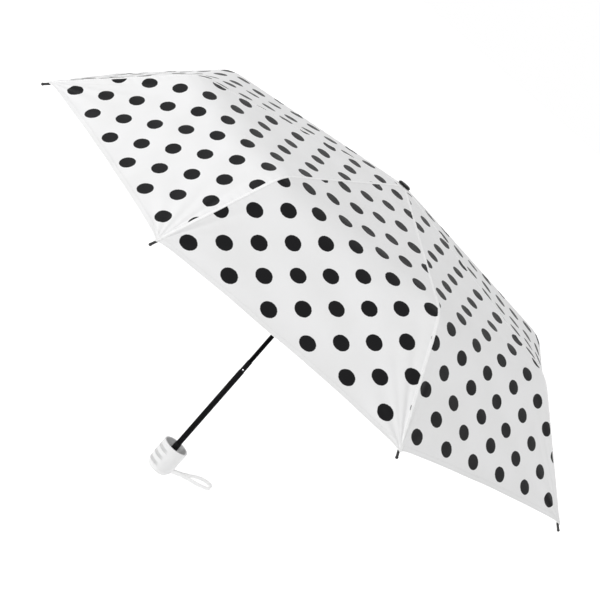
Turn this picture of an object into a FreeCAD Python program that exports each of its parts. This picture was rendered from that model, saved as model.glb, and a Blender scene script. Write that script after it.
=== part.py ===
import FreeCAD, Part
import Sketcher
import math
import os
import re

# A compact three-section folding umbrella, open, with eight ribs.
# The origin is at the centre of the handle's foot, and +Z runs along the shaft towards the
# canopy. The ribs stand at odd multiples of 22.5 degrees about +Z.

doc = FreeCAD.newDocument("FoldingUmbrella")
Vector = FreeCAD.Vector
Rotation = FreeCAD.Rotation
Placement = FreeCAD.Placement

# Driving dimensions, in millimetres and degrees.
dimensions = [
    # canopy, on the ridge line over each rib
    ("crownHeight", 566), ("kneeRadius", 335.2), ("kneeHeight", 513.6),
    ("hemRadius", 485), ("hemHeight", 384), ("kneeRound", 70),
    ("clothThickness", 0.5), ("crownHole", 3.6), ("crownFlat", 6),
    # ribs
    ("ribDrop", 6.2), ("mainRibLength", 165), ("stretcherLength", 76), ("pivotRadius", 9),
    ("mainRibWidth", 1.6), ("mainRibDepth", 3), ("stretcherWidth", 1.2), ("stretcherDepth", 2.6),
    ("middleRibWidth", 1.4), ("middleRibDepth", 2.6), ("outerRibWidth", 1.6), ("outerRibDepth", 2),
    ("sideGap", 0.3), ("pinRadius", 0.7), ("pinClearance", 0.05), ("pinHead", 0.4),
    ("eyeRadius", 1.5), ("ringWire", 0.4), ("ringClearance", 0.1), ("ringEyeClearance", 0.42),
    # rib tips
    ("tipRadius", 1.7), ("tipLength", 10), ("tipOverlap", 3), ("ballRadius", 2.1), ("tipInset", 2.4),
    # handle
    ("gripRadius", 21.2), ("gripLength", 47), ("gripWall", 2.4), ("gripTaperTop", 20),
    ("gripTaperRadius", 20.3), ("gripEdge", 7), ("footRadius", 16.5), ("recessDepth", 18),
    ("rimRound", 0.8), ("baseInset", 1.6), ("baseLip", 3.4), ("baseLipHeight", 2),
    ("recessFloor", 3), ("bossWall", 3.5), ("bossLength", 16), ("baseThickness", 3),
    ("markDepth", 1.1), ("markLength", 5), ("markFirst", 12.5), ("markPitch", 11.8),
    ("markAzimuth", -134), ("markSpan", 70),
    ("collarWall", 0.8), ("collarTop", 52),
    ("anchorWidth", 7), ("anchorLength", 9), ("anchorHeight", 8), ("anchorBottom", 0.6),
    ("anchorReach", 28), ("anchorRound", 1.5), ("strapAzimuth", 45),
    # telescopic shaft
    ("lowerTubeRadius", 4.5), ("lowerTubeTop", 221), ("neckLength", 19), ("neckClearance", 0.15),
    ("middleTubeRadius", 3.4), ("middleTubeTop", 380), ("middleTubeBottom", 196),
    ("middleNeckLength", 12),
    ("upperTubeRadius", 2.6), ("upperTubeBottom", 362), ("tubeWall", 0.4), ("neckStep", 1),
    ("slideClearance", 0.1), ("bushLength", 5), ("keywayWidth", 2.8),
    ("middleTravel", 145), ("upperTravel", 169),
    ("lockRadius", 1.2), ("lockStandProud", 0.55), ("lockDome", 0.3), ("lockSeat", 0.05),
    ("lowerLockHeight", 205.5), ("middleLockHeight", 374), ("lockClearance", 0.1), ("keywayEnd", 2.2),
    # notch, runner and top cap
    ("crownRim", 1.4), ("notchHeight", 9), ("notchTopGap", 4), ("slotWidth", 2.6), ("slotDepth", 4.2),
    ("runnerClearance", 0.3), ("runnerWall", 1.8), ("runnerGripWall", 3.6),
    ("runnerLength", 30), ("runnerCrownHeight", 7), ("runnerGripLength", 12),
    ("latchRadius", 2.2), ("latchInset", 1.5), ("latchLength", 3.2),
    ("capRadius", 10), ("capThickness", 3.4), ("capGap", 0.6), ("capLowRound", 0.6), ("capTopRound", 2),
    ("studRadius", 2), ("studLength", 14),
    # wrist strap: a narrow tape that stands on its edge
    ("tapeWidth", 6.4), ("tapeThickness", 1.2), ("tapeLift", 0.3),
]
ribCount = 8
firstAzimuth = 22.5
cutReach = 10  # how far a cutting tool runs past what it cuts
aliases = {name for name, number in dimensions}

# Sizes that follow from others.
neckGap = " + neckClearance + tubeWall"
lowerNeck = "middleTubeRadius" + neckGap
middleNeck = "upperTubeRadius" + neckGap
crownRadius = "pivotRadius + crownRim"
runnerBore = "lowerTubeRadius + runnerClearance"
runnerBody = runnerBore + " + runnerWall"
runnerGrip = runnerBore + " + runnerGripWall"
latchInner = runnerBore + " + latchInset"

sheet = doc.addObject("Spreadsheet::Sheet", "Sizes")
for row, (name, number) in enumerate(dimensions, start=1):
    sheet.set("A%d" % row, name)
    sheet.set("B%d" % row, str(number))
    sheet.setAlias("B%d" % row, name)
doc.recompute()

made = []


def size(text):
    """The number that a formula of the sheet's names gives."""
    return float(sheet.evalExpression(text))


def bound(text):
    """The same formula as another object of the document reads it."""
    return re.sub(r"[A-Za-z]+", lambda word: "Sizes." + word.group() if word.group() in aliases
                  else word.group(), text)


def bind(thing, **formulas):
    for field, text in formulas.items():
        thing.setExpression(field, bound(text))
    return thing


def at(x=0, y=0, z=0, axis=(0, 0, 1), angle=0):
    return Placement(Vector(x, y, z), Rotation(Vector(*axis), angle))


def solid(kind, name, place=None, **formulas):
    thing = doc.addObject("Part::" + kind, name)
    bind(thing, **formulas)
    thing.Placement = place or Placement()
    return thing


def together(name, pieces):
    thing = doc.addObject("Part::MultiFuse", name)
    thing.Shapes = pieces
    return thing


def less(name, base, tool):
    thing = doc.addObject("Part::Cut", name)
    thing.Base = base
    thing.Tool = tool
    return thing


def keep(thing, label, place=None):
    """Marks a finished piece: its label names its file."""
    thing.Label = label
    if place is not None:
        thing.Placement = place
    made.append(thing)
    return thing


def turned(name, outline):
    """A body turned about Z from an outline of (radius, height) formulas."""
    body = doc.addObject("PartDesign::Body", name)
    plane = [one for one in body.Origin.OriginFeatures if one.Role == "XZ_Plane"][0]
    sketch = body.newObject("Sketcher::SketchObject", name + "Outline")
    sketch.AttachmentSupport = [(plane, "")]
    sketch.MapMode = "FlatFace"
    corners = [Vector(size(radius), size(height), 0) for radius, height in outline]
    count = len(corners)
    for index in range(count):
        sketch.addGeometry(Part.LineSegment(corners[index], corners[(index + 1) % count]), False)
    for index in range(count):
        sketch.addConstraint(Sketcher.Constraint("Coincident", index, 2, (index + 1) % count, 1))
    for index, (radius, height) in enumerate(outline):
        for kind, text, axis in (("DistanceX", radius, -2), ("DistanceY", height, -1)):
            if abs(size(text)) < 1e-9:
                sketch.addConstraint(Sketcher.Constraint("PointOnObject", index, 1, axis))
                continue
            sketch.addConstraint(Sketcher.Constraint(kind, -1, 1, index, 1, size(text)))
            sketch.setExpression("Constraints[%d]" % (sketch.ConstraintCount - 1), bound(text))
    turn = body.newObject("PartDesign::Revolution", name + "Turn")
    turn.Profile = sketch
    turn.ReferenceAxis = (sketch, ["V_Axis"])
    turn.Angle = 360
    body.Tip = turn
    return body


def ring(inner, outer, low, high):
    return [(inner, low), (outer, low), (outer, high), (inner, high)]


# ---------------------------------------------------------------- rib geometry
crown = Vector(0, 0, size("crownHeight"))
knee = Vector(size("kneeRadius"), 0, size("kneeHeight"))
hem = Vector(size("hemRadius"), 0, size("hemHeight"))


def slope(start, end):
    return math.degrees(math.atan2(end.z - start.z, end.x - start.x))


def ahead(start, angle, distance):
    turn = math.radians(angle)
    return Vector(start.x + distance * math.cos(turn), 0, start.z + distance * math.sin(turn))


innerSlope = slope(crown, knee)
outerSlope = slope(knee, hem)
notchPivot = ahead(crown, innerSlope, size("pivotRadius") / math.cos(math.radians(innerSlope)))
notchPivot.z -= size("ribDrop") / math.cos(math.radians(innerSlope))
kneePivot = ahead(knee, (innerSlope + outerSlope) / 2 - 90,
                  size("ribDrop") / math.cos(math.radians((innerSlope - outerSlope) / 2)))
ribSlope = slope(notchPivot, kneePivot)
middlePivot = ahead(notchPivot, ribSlope, size("mainRibLength"))
middleRibLength = (kneePivot - middlePivot).Length
hemPivot = ahead(hem, outerSlope - 90, size("tipInset"))
outerRibSlope = slope(kneePivot, hemPivot)
outerRibLength = (hemPivot - kneePivot).Length
stretcherPivot = ahead(notchPivot, ribSlope, size("stretcherLength"))
runnerPivot = Vector(notchPivot.x, 0, 2 * stretcherPivot.z - notchPivot.z)


def azimuth(index):
    return firstAzimuth + index * 360 / ribCount


def ribPlace(index, start, angle):
    """Puts a link, drawn along +X from its first pivot, into the plane of its rib."""
    return at(angle=azimuth(index)) * at(start.x, 0, start.z, (0, 1, 0), -angle)


def crosswise(name, x, low, high, radius):
    """A cylinder across a link, from one sideways place to another."""
    place = at(x, low, 0, (1, 0, 0), -90)
    drum = solid("Cylinder", name, place, Radius=radius)
    drum.Height = high - low
    return drum


def link(name, length, side, width, depth, holes=(), pins=()):
    """A flat bar on edge with eyes at its pivots, holes in some and rivets on others."""
    half = size(width) / 2
    bar = solid("Box", name + "Bar", at(0, side - half, -size(depth) / 2), Width=width, Height=depth)
    bar.Length = length
    pieces = [bar]
    for number, place in enumerate(sorted({spot for spot, radius in holes} | {spot for spot, far in pins})):
        pieces.append(crosswise("%sEye%d" % (name, number), place, side - half, side + half, "eyeRadius"))
    for number, (place, far) in enumerate(pins):
        near = side + math.copysign(half, far - side)
        low, high = sorted((side, far))
        pieces.append(crosswise("%sPin%d" % (name, number), place, low, high, "pinRadius"))
        head = size("pinHead")
        low, high = sorted((far, far + math.copysign(head, far - near)))
        pieces.append(crosswise("%sHead%d" % (name, number), place, low, high, "eyeRadius - 0.2"))
    whole = together(name + "Whole", pieces)
    for number, (place, radius) in enumerate(holes):
        drill = crosswise("%sHole%d" % (name, number), place, side - half - 1, side + half + 1, radius)
        whole = less("%sDrilled%d" % (name, number), whole, drill)
    return whole


mainHalf = size("mainRibWidth") / 2
gap = size("sideGap")
stretcherSide = -(mainHalf + gap + size("stretcherWidth") / 2)
middleSide = mainHalf + gap + size("middleRibWidth") / 2
stretcherFar = -(mainHalf + 2 * gap + size("stretcherWidth"))
middleFar = mainHalf + 2 * gap + size("middleRibWidth")
pinHole = "pinRadius + pinClearance"


def makeRib(index):
    number = index + 1
    main = link("MainRib%d" % number, size("mainRibLength"), 0, "mainRibWidth", "mainRibDepth",
                holes=[(0, "ringWire + ringClearance")],
                pins=[(size("stretcherLength"), stretcherFar), (size("mainRibLength"), middleFar)])
    keep(main, "main_rib_%d" % number, ribPlace(index, notchPivot, ribSlope))

    stretcher = link("Stretcher%d" % number, size("stretcherLength"), stretcherSide,
                     "stretcherWidth", "stretcherDepth",
                     holes=[(0, "ringWire + ringEyeClearance"), (size("stretcherLength"), pinHole)])
    keep(stretcher, "stretcher_%d" % number, ribPlace(index, runnerPivot, -ribSlope))

    middle = link("MiddleRib%d" % number, middleRibLength, middleSide, "middleRibWidth", "middleRibDepth",
                  holes=[(0, pinHole)], pins=[(middleRibLength, -(size("outerRibWidth") / 2 + gap))])
    keep(middle, "middle_rib_%d" % number, ribPlace(index, middlePivot, ribSlope))

    outer = link("OuterRib%d" % number, outerRibLength, 0, "outerRibWidth", "outerRibDepth",
                 holes=[(0, pinHole)])
    keep(outer, "outer_rib_%d" % number, ribPlace(index, kneePivot, outerRibSlope))

    # the cap starts where the bar ends and carries the ball
    barrel = solid("Cylinder", "TipBarrel%d" % number, at(0, 0, 0, (0, 1, 0), 90),
                   Radius="tipRadius", Height="tipLength")
    ball = solid("Sphere", "TipBall%d" % number, at(size("tipLength")), Radius="ballRadius")
    keep(together("Tip%d" % number, [barrel, ball]), "rib_tip_%d" % number,
         ribPlace(index, hemPivot, outerRibSlope))


# ---------------------------------------------------------------- handle
def makeHandle():
    inner = "gripRadius - gripWall"
    floor = "gripLength - recessDepth"
    under = "gripLength - recessDepth - recessFloor"
    bossLow = "gripLength - recessDepth - bossLength"
    taperInner = "gripTaperRadius - gripWall"
    baseRim = "footRadius - baseInset"
    baseSeat = baseRim + " + 0.2"
    lip = "footRadius - baseLip"
    lipTop = "baseThickness + baseLipHeight"
    shell = turned("GripShell", [
        ("footRadius", "0.1"), ("gripTaperRadius", "gripEdge"), ("gripRadius", "gripTaperTop"),
        ("gripRadius", "gripLength - rimRound"), ("gripRadius - rimRound", "gripLength"),
        (inner + " + rimRound", "gripLength"), (inner, "gripLength - rimRound"), (inner, floor),
        ("lowerTubeRadius", floor), ("lowerTubeRadius", bossLow),
        ("lowerTubeRadius + bossWall", bossLow), ("lowerTubeRadius + bossWall", under),
        (inner, under), (inner, "gripTaperTop"), (taperInner, "gripEdge + rimRound"),
        (taperInner, "baseThickness"), (baseSeat, "baseThickness"), (baseSeat, "0.1")])
    taperRun = size("gripTaperTop - gripEdge")
    marks = []
    for number in range(3):
        name = "Mark%d" % number
        outer = solid("Cylinder", name + "Outer", Radius="gripRadius + 2", Height="markLength",
                      Angle="markSpan")
        core = solid("Cylinder", name + "Core", at(0, 0, -1), Height="markLength + 2")
        middle = size("markFirst") + number * size("markPitch")
        low = middle - size("markLength") / 2
        wall = min(1, max(0, (middle - size("gripEdge")) / taperRun))
        core.Radius = size("gripTaperRadius - markDepth") + wall * size("gripRadius - gripTaperRadius")
        sector = less(name, outer, core)
        sector.Placement = at(0, 0, low, angle=size("markAzimuth - markSpan / 2"))
        marks.append(sector)
    keep(less("Grip", shell, together("Marks", marks)), "handle_grip")

    keep(turned("Base", [("0", "0"), (baseRim, "0"), (baseRim, lipTop), (lip, lipTop),
                         (lip, "baseThickness"), ("0", "baseThickness")]), "handle_base")

    keep(turned("Collar", ring("lowerTubeRadius", "lowerTubeRadius + collarWall", floor, "collarTop")),
         "shaft_collar")

    # a block on the side of the grip that the strap's two ends run into
    block = solid("Box", "AnchorBlock", at(size("anchorReach - anchorLength"), -size("anchorWidth") / 2,
                                           size("anchorBottom")),
                  Length="anchorLength", Width="anchorWidth", Height="anchorHeight")
    rounded = doc.addObject("Part::Fillet", "AnchorRounded")
    rounded.Base = block
    doc.recompute()
    uprights = [number for number, edge in enumerate(block.Shape.Edges, start=1)
                if abs(edge.tangentAt(edge.FirstParameter).z) > 0.9
                and edge.CenterOfMass.x > size("anchorReach - 1")]
    corner = size("anchorRound")
    rounded.Edges = [(number, corner, corner) for number in uprights]
    seat = turned("AnchorSeat", [("0", "0"), ("footRadius", "0"), ("footRadius", "0.1"),
                                 ("gripTaperRadius", "gripEdge"), ("gripRadius", "gripTaperTop"),
                                 ("0", "gripTaperTop")])
    keep(less("Anchor", rounded, seat), "strap_anchor", at(angle=size("strapAzimuth")))


# ---------------------------------------------------------------- wrist strap
# Route of the tape's middle in plan, before it is turned to the anchor's azimuth.
strapRoute = [(28.1, -1.5), (44.8, -1.9), (62.9, -5.5), (81.1, -11.5), (100.5, -14.0), (114.8, -9.2),
              (118.0, 2.8), (107.0, 9.8), (88.8, 9.0), (70.7, 4.8), (50.0, 2.0), (28.1, 1.5)]
turnShare = 0.45  # how much of the shorter run each rounded corner takes


def makeStrap():
    points = [Vector(x, y, 0) for x, y in strapRoute]
    edges = []
    start = points[0]
    for index in range(1, len(points) - 1):
        back = points[index - 1] - points[index]
        onward = points[index + 1] - points[index]
        half = (math.pi - back.getAngle(onward)) / 2
        reach = turnShare * min(back.Length, onward.Length)
        radius = reach / math.tan(half)
        back.normalize()
        onward.normalize()
        first = points[index] + back * reach
        last = points[index] + onward * reach
        bisector = back + onward
        bisector.normalize()
        centre = points[index] + bisector * (radius / math.cos(half))
        middle = centre - bisector * radius
        edges.append(Part.LineSegment(start, first).toShape())
        edges.append(Part.Arc(first, middle, last).toShape())
        print("strap turn %2d radius %.1f mm" % (index, radius))
        start = last
    edges.append(Part.LineSegment(start, points[-1]).toShape())
    path = Part.Wire(edges)
    thick = size("tapeThickness") / 2
    across = Vector(0, 0, 1).cross((points[1] - points[0]).normalize())
    low = size("tapeLift")
    corners = [points[0] + across * side + Vector(0, 0, up)
               for side, up in ((-thick, low), (thick, low), (thick, low + size("tapeWidth")),
                                (-thick, low + size("tapeWidth")))]
    section = Part.makePolygon(corners + corners[:1])
    spine = path.copy()
    spine.translate(Vector(0, 0, low))
    shape = spine.makePipeShell([section], True, False)
    expected = size("tapeThickness * tapeWidth") * path.Length
    print("strap length %.1f mm, volume %.0f mm3 against %.0f" % (path.Length, shape.Volume, expected))
    strap = doc.addObject("Part::Feature", "Strap")
    strap.Shape = shape
    keep(strap, "wrist_strap", at(angle=size("strapAzimuth")))


# ---------------------------------------------------------------- shaft
def tubeOutline(radius, low, high, neckRadius, neckLength):
    wall = " - tubeWall"
    neckLow = "%s - %s" % (high, neckLength)
    step = " - neckStep"
    return [(radius, low), (radius, neckLow + step), (neckRadius, neckLow), (neckRadius, high),
            (neckRadius + wall, high), (neckRadius + wall, neckLow), (radius + wall, neckLow + step),
            (radius + wall, low)]


def radialDrum(name, radius, inner, outer, height):
    """A cylinder along -Y, between two distances from the axis."""
    drum = solid("Cylinder", name, at(0, -inner, size(height), (1, 0, 0), 90), Radius=radius)
    drum.Height = outer - inner
    return drum


def makeLock(name, label, tubeRadius, inner, height):
    """A domed press button in its hole."""
    shoulder = size(tubeRadius) + size("lockStandProud - lockDome")
    pin = radialDrum(name + "Pin", "lockRadius", inner, shoulder, height)
    dome = solid("Cone", name + "Dome", at(0, -shoulder, size(height), (1, 0, 0), 90),
                 Radius1="lockRadius", Radius2="lockRadius * 0.55", Height="lockDome")
    keep(together(name, [pin, dome]), label)


def makeKeyway(name, lockHeight, travel):
    """A slot for a lock button, as long as the tube's travel, in the -Y side of a tube."""
    place = at(-size("keywayWidth") / 2, -cutReach, size(lockHeight + " - keywayEnd"))
    keyway = solid("Box", name, place, Length="keywayWidth", Height=travel + " + 2 * keywayEnd")
    keyway.Width = cutReach
    return keyway


def makeShaft():
    bottom = "gripLength - recessDepth - bossLength"
    lower = turned("LowerTubeBlank", tubeOutline("lowerTubeRadius", bottom, "lowerTubeTop",
                                                 lowerNeck, "neckLength"))
    hole = radialDrum("LowerLockHole", "lockRadius + lockClearance", 0, cutReach, "lowerLockHeight")
    keep(less("LowerTube", lower, hole), "lower_tube")

    middle = turned("MiddleTubeBlank", tubeOutline("middleTubeRadius", "middleTubeBottom", "middleTubeTop",
                                                   middleNeck, "middleNeckLength"))
    keyway = makeKeyway("MiddleKeyway", "lowerLockHeight", "middleTravel")
    hole = radialDrum("MiddleLockHole", "lockRadius + lockClearance", 0, cutReach, "middleLockHeight")
    cuts = together("MiddleCuts", [keyway, hole])
    keep(less("MiddleTube", middle, cuts), "middle_tube")
    keep(turned("MiddleBush", ring("middleTubeRadius", "lowerTubeRadius - tubeWall - slideClearance",
                                   "middleTubeBottom", "middleTubeBottom + bushLength")), "middle_bush")

    top = "%.3f" % (notchPivot.z + size("notchTopGap") - 0.5)
    upper = turned("UpperTubeBlank", ring("upperTubeRadius - tubeWall", "upperTubeRadius",
                                          "upperTubeBottom", top))
    keyway = makeKeyway("UpperKeyway", "middleLockHeight", "upperTravel")
    keep(less("UpperTube", upper, keyway), "upper_tube")
    keep(turned("UpperBush", ring("upperTubeRadius", "middleTubeRadius - tubeWall - slideClearance",
                                  "upperTubeBottom", "upperTubeBottom + bushLength")), "upper_bush")

    makeLock("LowerLock", "lower_lock_button", lowerNeck,
             size("middleTubeRadius + lockSeat"), "lowerLockHeight")
    makeLock("MiddleLock", "middle_lock_button", middleNeck,
             size("upperTubeRadius + lockSeat"), "middleLockHeight")


# ---------------------------------------------------------------- notch, runner and cap
def slots(name, sides, low, high):
    """One slot through the rim for each rib, between two sideways places."""
    tools = []
    for index in range(ribCount):
        tool = solid("Box", "%s%d" % (name, index), Length="slotDepth + 3")
        tool.Width = sides[1] - sides[0]
        tool.Height = high - low
        tool.Placement = at(angle=azimuth(index)) * at(size(crownRadius) - size("slotDepth"), sides[0], low)
        tools.append(tool)
    return tools


def wireRing(name, label, height):
    torus = solid("Torus", name, Radius1="pivotRadius", Radius2="ringWire")
    keep(torus, label, at(0, 0, height))


def ringSeat(name, height):
    seat = solid("Torus", name, at(0, 0, height), Radius1="pivotRadius")
    seat.Radius2 = size("ringWire") + 0.02
    return seat


def makeNotch():
    top = notchPivot.z + size("notchTopGap") - 1
    low = top - size("notchHeight")
    blank = turned("NotchBlank", ring("upperTubeRadius", crownRadius, "%.3f" % low, "%.3f" % top))
    tools = slots("NotchSlot", (-size("slotWidth") / 2, size("slotWidth") / 2), low - 1, top + 1)
    tools.append(ringSeat("NotchSeat", notchPivot.z))
    keep(less("Notch", blank, together("NotchCuts", tools)), "notch")
    wireRing("NotchRing", "notch_ring", notchPivot.z)


def makeRunner():
    top = runnerPivot.z + size("runnerCrownHeight") / 2
    crownLow = top - size("runnerCrownHeight")
    low = top - size("runnerLength")
    gripTop = low + size("runnerGripLength")
    heights = ["%.3f" % number for number in (low, low + 1, gripTop, gripTop + 2, crownLow - 1.5,
                                              crownLow, top)]
    blank = turned("RunnerBlank", [
        (runnerBore, heights[0]), (runnerGrip + " - 0.8", heights[0]), (runnerGrip, heights[1]),
        (runnerGrip, heights[2]), (runnerBody, heights[3]), (runnerBody, heights[4]),
        (crownRadius, heights[5]), (crownRadius, heights[6]), (runnerBore, heights[6])])
    latchHeight = low + size("runnerGripLength") / 2
    pocket = solid("Cylinder", "LatchPocket", at(0, 0, latchHeight, (1, 0, 0), 90),
                   Height=runnerGrip + " + 4")
    pocket.Radius = size("latchRadius") + size("lockClearance")
    # each slot clears the main rib and the stretcher, which stands to one side of it
    tools = slots("RunnerSlot", (stretcherFar, mainHalf + gap), crownLow - 2, top + 1)
    tools += [ringSeat("RunnerSeat", runnerPivot.z), pocket]
    keep(less("Runner", blank, together("RunnerCuts", tools)), "runner")
    wireRing("RunnerRing", "runner_ring", runnerPivot.z)
    button = solid("Cylinder", "RunnerLatch", Radius="latchRadius", Height="latchLength")
    keep(button, "runner_button", at(0, -size(latchInner), latchHeight, (1, 0, 0), 90))


def makeCap():
    low = "crownHeight + capGap"
    rim = "crownHeight + capGap + capThickness"
    keep(turned("Cap", [
        ("0", low), ("capRadius - capLowRound", low), ("capRadius", low + " + capLowRound"),
        ("capRadius", rim + " - 0.7 * capTopRound"), ("capRadius - capTopRound", rim), ("0", rim)]), "top_cap")
    stud = solid("Cylinder", "CapStud", at(0, 0, size("crownHeight + capGap - studLength")),
                 Radius="studRadius", Height="studLength")
    keep(stud, "cap_stud")


# ---------------------------------------------------------------- canopy
bendSteps = 4


def ridgeLine():
    """Stations of the ridge from the crown to the hem, rounded over the knee."""
    half = math.radians((innerSlope - outerSlope) / 2)
    reach = size("kneeRound") * math.tan(half)
    first = ahead(knee, innerSlope, -reach)
    centre = ahead(first, innerSlope - 90, size("kneeRound"))
    stations = [ahead(crown, innerSlope, size("crownFlat")), first]
    for step in range(1, bendSteps + 1):
        turn = innerSlope + (outerSlope - innerSlope) * step / bendSteps
        stations.append(ahead(centre, turn + 90, size("kneeRound")))
    return stations + [hem]


def canopyBlank(name, stations, drop):
    sections = []
    for number, station in enumerate(stations):
        polygon = doc.addObject("Part::RegularPolygon", "%sRow%d" % (name, number))
        polygon.Polygon = ribCount
        polygon.Circumradius = station.x
        polygon.Placement = at(0, 0, station.z - drop, angle=firstAzimuth)
        sections.append(polygon)
    loft = doc.addObject("Part::Loft", name)
    loft.Sections = sections
    loft.Solid = True
    loft.Ruled = True
    return loft


def makeCanopy():
    stations = ridgeLine()
    below = [ahead(hem, outerSlope, 3)]
    outside = canopyBlank("CanopyOutside", stations, 0)
    inside = canopyBlank("CanopyInside", stations + below, size("clothThickness"))
    eye = solid("Cylinder", "CrownEye", at(0, 0, size("crownHeight") - cutReach), Radius="crownHole")
    eye.Height = 2 * cutReach
    keep(less("Canopy", outside, together("CanopyCuts", [inside, eye])), "canopy")


makeHandle()
makeStrap()
makeShaft()
makeNotch()
makeRunner()
makeCap()
makeCanopy()
for ribIndex in range(ribCount):
    makeRib(ribIndex)
doc.recompute()

problems = [thing.Name for thing in doc.Objects if "Invalid" in thing.State or "Error" in thing.State]
problems += [thing.Label for thing in made if thing.Shape.isNull() or not thing.Shape.isValid()]
if problems:
    raise RuntimeError("failed: " + ", ".join(problems))

os.makedirs("parts", exist_ok=True)
for thing in made:
    thing.Shape.exportStep(os.path.join("parts", thing.Label + ".step"))
    print("%-20s %8.0f mm3  solids %d" % (thing.Label, thing.Shape.Volume, len(thing.Shape.Solids)))
print(len(made), "nodes")
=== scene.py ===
import math

import bpy
import numpy as np
from mathutils import Matrix, Vector


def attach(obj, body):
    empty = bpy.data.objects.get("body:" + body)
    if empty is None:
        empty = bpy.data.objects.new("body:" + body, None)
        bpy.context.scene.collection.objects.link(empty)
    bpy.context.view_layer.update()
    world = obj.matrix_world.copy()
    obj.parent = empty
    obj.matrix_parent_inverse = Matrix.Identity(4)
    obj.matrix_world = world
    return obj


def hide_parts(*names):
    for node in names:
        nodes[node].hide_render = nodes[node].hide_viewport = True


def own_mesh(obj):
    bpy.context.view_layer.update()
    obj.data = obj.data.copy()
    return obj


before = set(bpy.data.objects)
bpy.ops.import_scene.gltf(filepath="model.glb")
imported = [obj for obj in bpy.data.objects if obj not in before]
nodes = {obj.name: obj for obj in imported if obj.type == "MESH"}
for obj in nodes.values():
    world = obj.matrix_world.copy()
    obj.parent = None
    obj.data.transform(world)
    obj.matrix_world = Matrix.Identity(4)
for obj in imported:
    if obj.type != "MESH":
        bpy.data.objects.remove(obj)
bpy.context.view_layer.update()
scene = bpy.context.scene
ribCount = 8
ribGap = 2 * math.pi / ribCount
firstRib = ribGap / 2  # rib 1, turned from +X
print("frame loaded:", len(nodes), "nodes")


cameraSettings = {
    "place": (-0.0585, -2.090, 0.8045),  # metres
    "right": (0.7560, 0.1230, 0.6429),  # the camera is rolled, so the shaft runs down to the left
    "up": (-0.6541, 0.1798, 0.7347),
    "lens": 87.97,  # mm, on a 36 mm sensor
}


def placeCamera(settings):
    data = bpy.data.cameras.new("studioCamera")
    data.lens = settings["lens"]
    data.sensor_width = 36
    data.clip_end = 200
    camera = bpy.data.objects.new("studioCamera", data)
    scene.collection.objects.link(camera)
    right = Vector(settings["right"]).normalized()
    up = Vector(settings["up"])
    up = (up - right * up.dot(right)).normalized()
    axes = Matrix((right, up, right.cross(up))).transposed()
    camera.matrix_world = Matrix.Translation(settings["place"]) @ axes.to_4x4()
    scene.camera = camera


placeCamera(cameraSettings)
print("camera placed")


# small helpers that wire shader nodes
def wired(tree, socket, value):
    if isinstance(value, bpy.types.NodeSocket):
        tree.links.new(value, socket)
    elif value is not None:
        socket.default_value = value


def mathNode(tree, operation, first, second=None, third=None):
    made = tree.nodes.new("ShaderNodeMath")
    made.operation = operation
    for socket, value in zip(made.inputs, (first, second, third)):
        wired(tree, socket, value)
    return made.outputs[0]


def mixColour(tree, mask, low, high):
    made = tree.nodes.new("ShaderNodeMix")
    made.data_type = "RGBA"
    for index, value in ((0, mask), (6, low), (7, high)):
        wired(tree, made.inputs[index], value)
    return made.outputs[2]


def ramp(tree, value, low, high, toLow=0.0, toHigh=1.0):
    made = tree.nodes.new("ShaderNodeMapRange")
    made.interpolation_type = "SMOOTHSTEP"
    wired(tree, made.inputs["Value"], value)
    for name, number in (("From Min", low), ("From Max", high), ("To Min", toLow), ("To Max", toHigh)):
        wired(tree, made.inputs[name], number)
    return made.outputs[0]


def noiseNode(tree, vector, scale, detail=3.0, stretch=None):
    if stretch is not None:
        mapping = tree.nodes.new("ShaderNodeMapping")
        mapping.inputs["Scale"].default_value = stretch
        wired(tree, mapping.inputs["Vector"], vector)
        vector = mapping.outputs[0]
    made = tree.nodes.new("ShaderNodeTexNoise")
    wired(tree, made.inputs["Vector"], vector)
    wired(tree, made.inputs["Scale"], scale)
    made.inputs["Detail"].default_value = detail
    return made.outputs["Fac"]


def startGroup(name, inputs, outputs):
    tree = bpy.data.node_groups.new(name, "ShaderNodeTree")
    for label, kind, value in inputs:
        socket = tree.interface.new_socket(label, in_out="INPUT", socket_type=kind)
        if value is not None:
            socket.default_value = value
    for label in outputs:
        tree.interface.new_socket(label, in_out="OUTPUT", socket_type="NodeSocketFloat")
    return tree, tree.nodes.new("NodeGroupInput"), tree.nodes.new("NodeGroupOutput")


def placeGroup(tree, group, vector, **values):
    made = tree.nodes.new("ShaderNodeGroup")
    made.node_tree = group
    tree.links.new(vector, made.inputs["Vector"])
    for name, value in values.items():
        made.inputs[name].default_value = value
    return made.outputs


def makePlainWeave():
    number = "NodeSocketFloat"
    tree, given, result = startGroup(
        "plainWeave", [("Vector", "NodeSocketVector", None), ("Threads", number, 2500.0),
                       ("Slub", number, 0.3)],
        ["Height", "Shade"])
    parts = tree.nodes.new("ShaderNodeSeparateXYZ")
    tree.links.new(given.outputs["Vector"], parts.inputs[0])
    turns = mathNode(tree, "MULTIPLY", given.outputs["Threads"], math.pi)
    warp = mathNode(tree, "SINE", mathNode(tree, "MULTIPLY", parts.outputs["X"], turns))
    weft = mathNode(tree, "SINE", mathNode(tree, "MULTIPLY", parts.outputs["Y"], turns))
    crossing = mathNode(tree, "MULTIPLY_ADD", mathNode(tree, "MULTIPLY", warp, weft), 0.5, 0.5)
    slub = noiseNode(tree, given.outputs["Vector"], 60.0, 2.0, (1.0, 14.0, 1.0))
    uneven = mathNode(tree, "MULTIPLY", mathNode(tree, "SUBTRACT", slub, 0.5), given.outputs["Slub"])
    tree.links.new(mathNode(tree, "ADD", crossing, uneven), result.inputs["Height"])
    tree.links.new(mathNode(tree, "ADD", uneven, 0.5), result.inputs["Shade"])
    return tree


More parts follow.
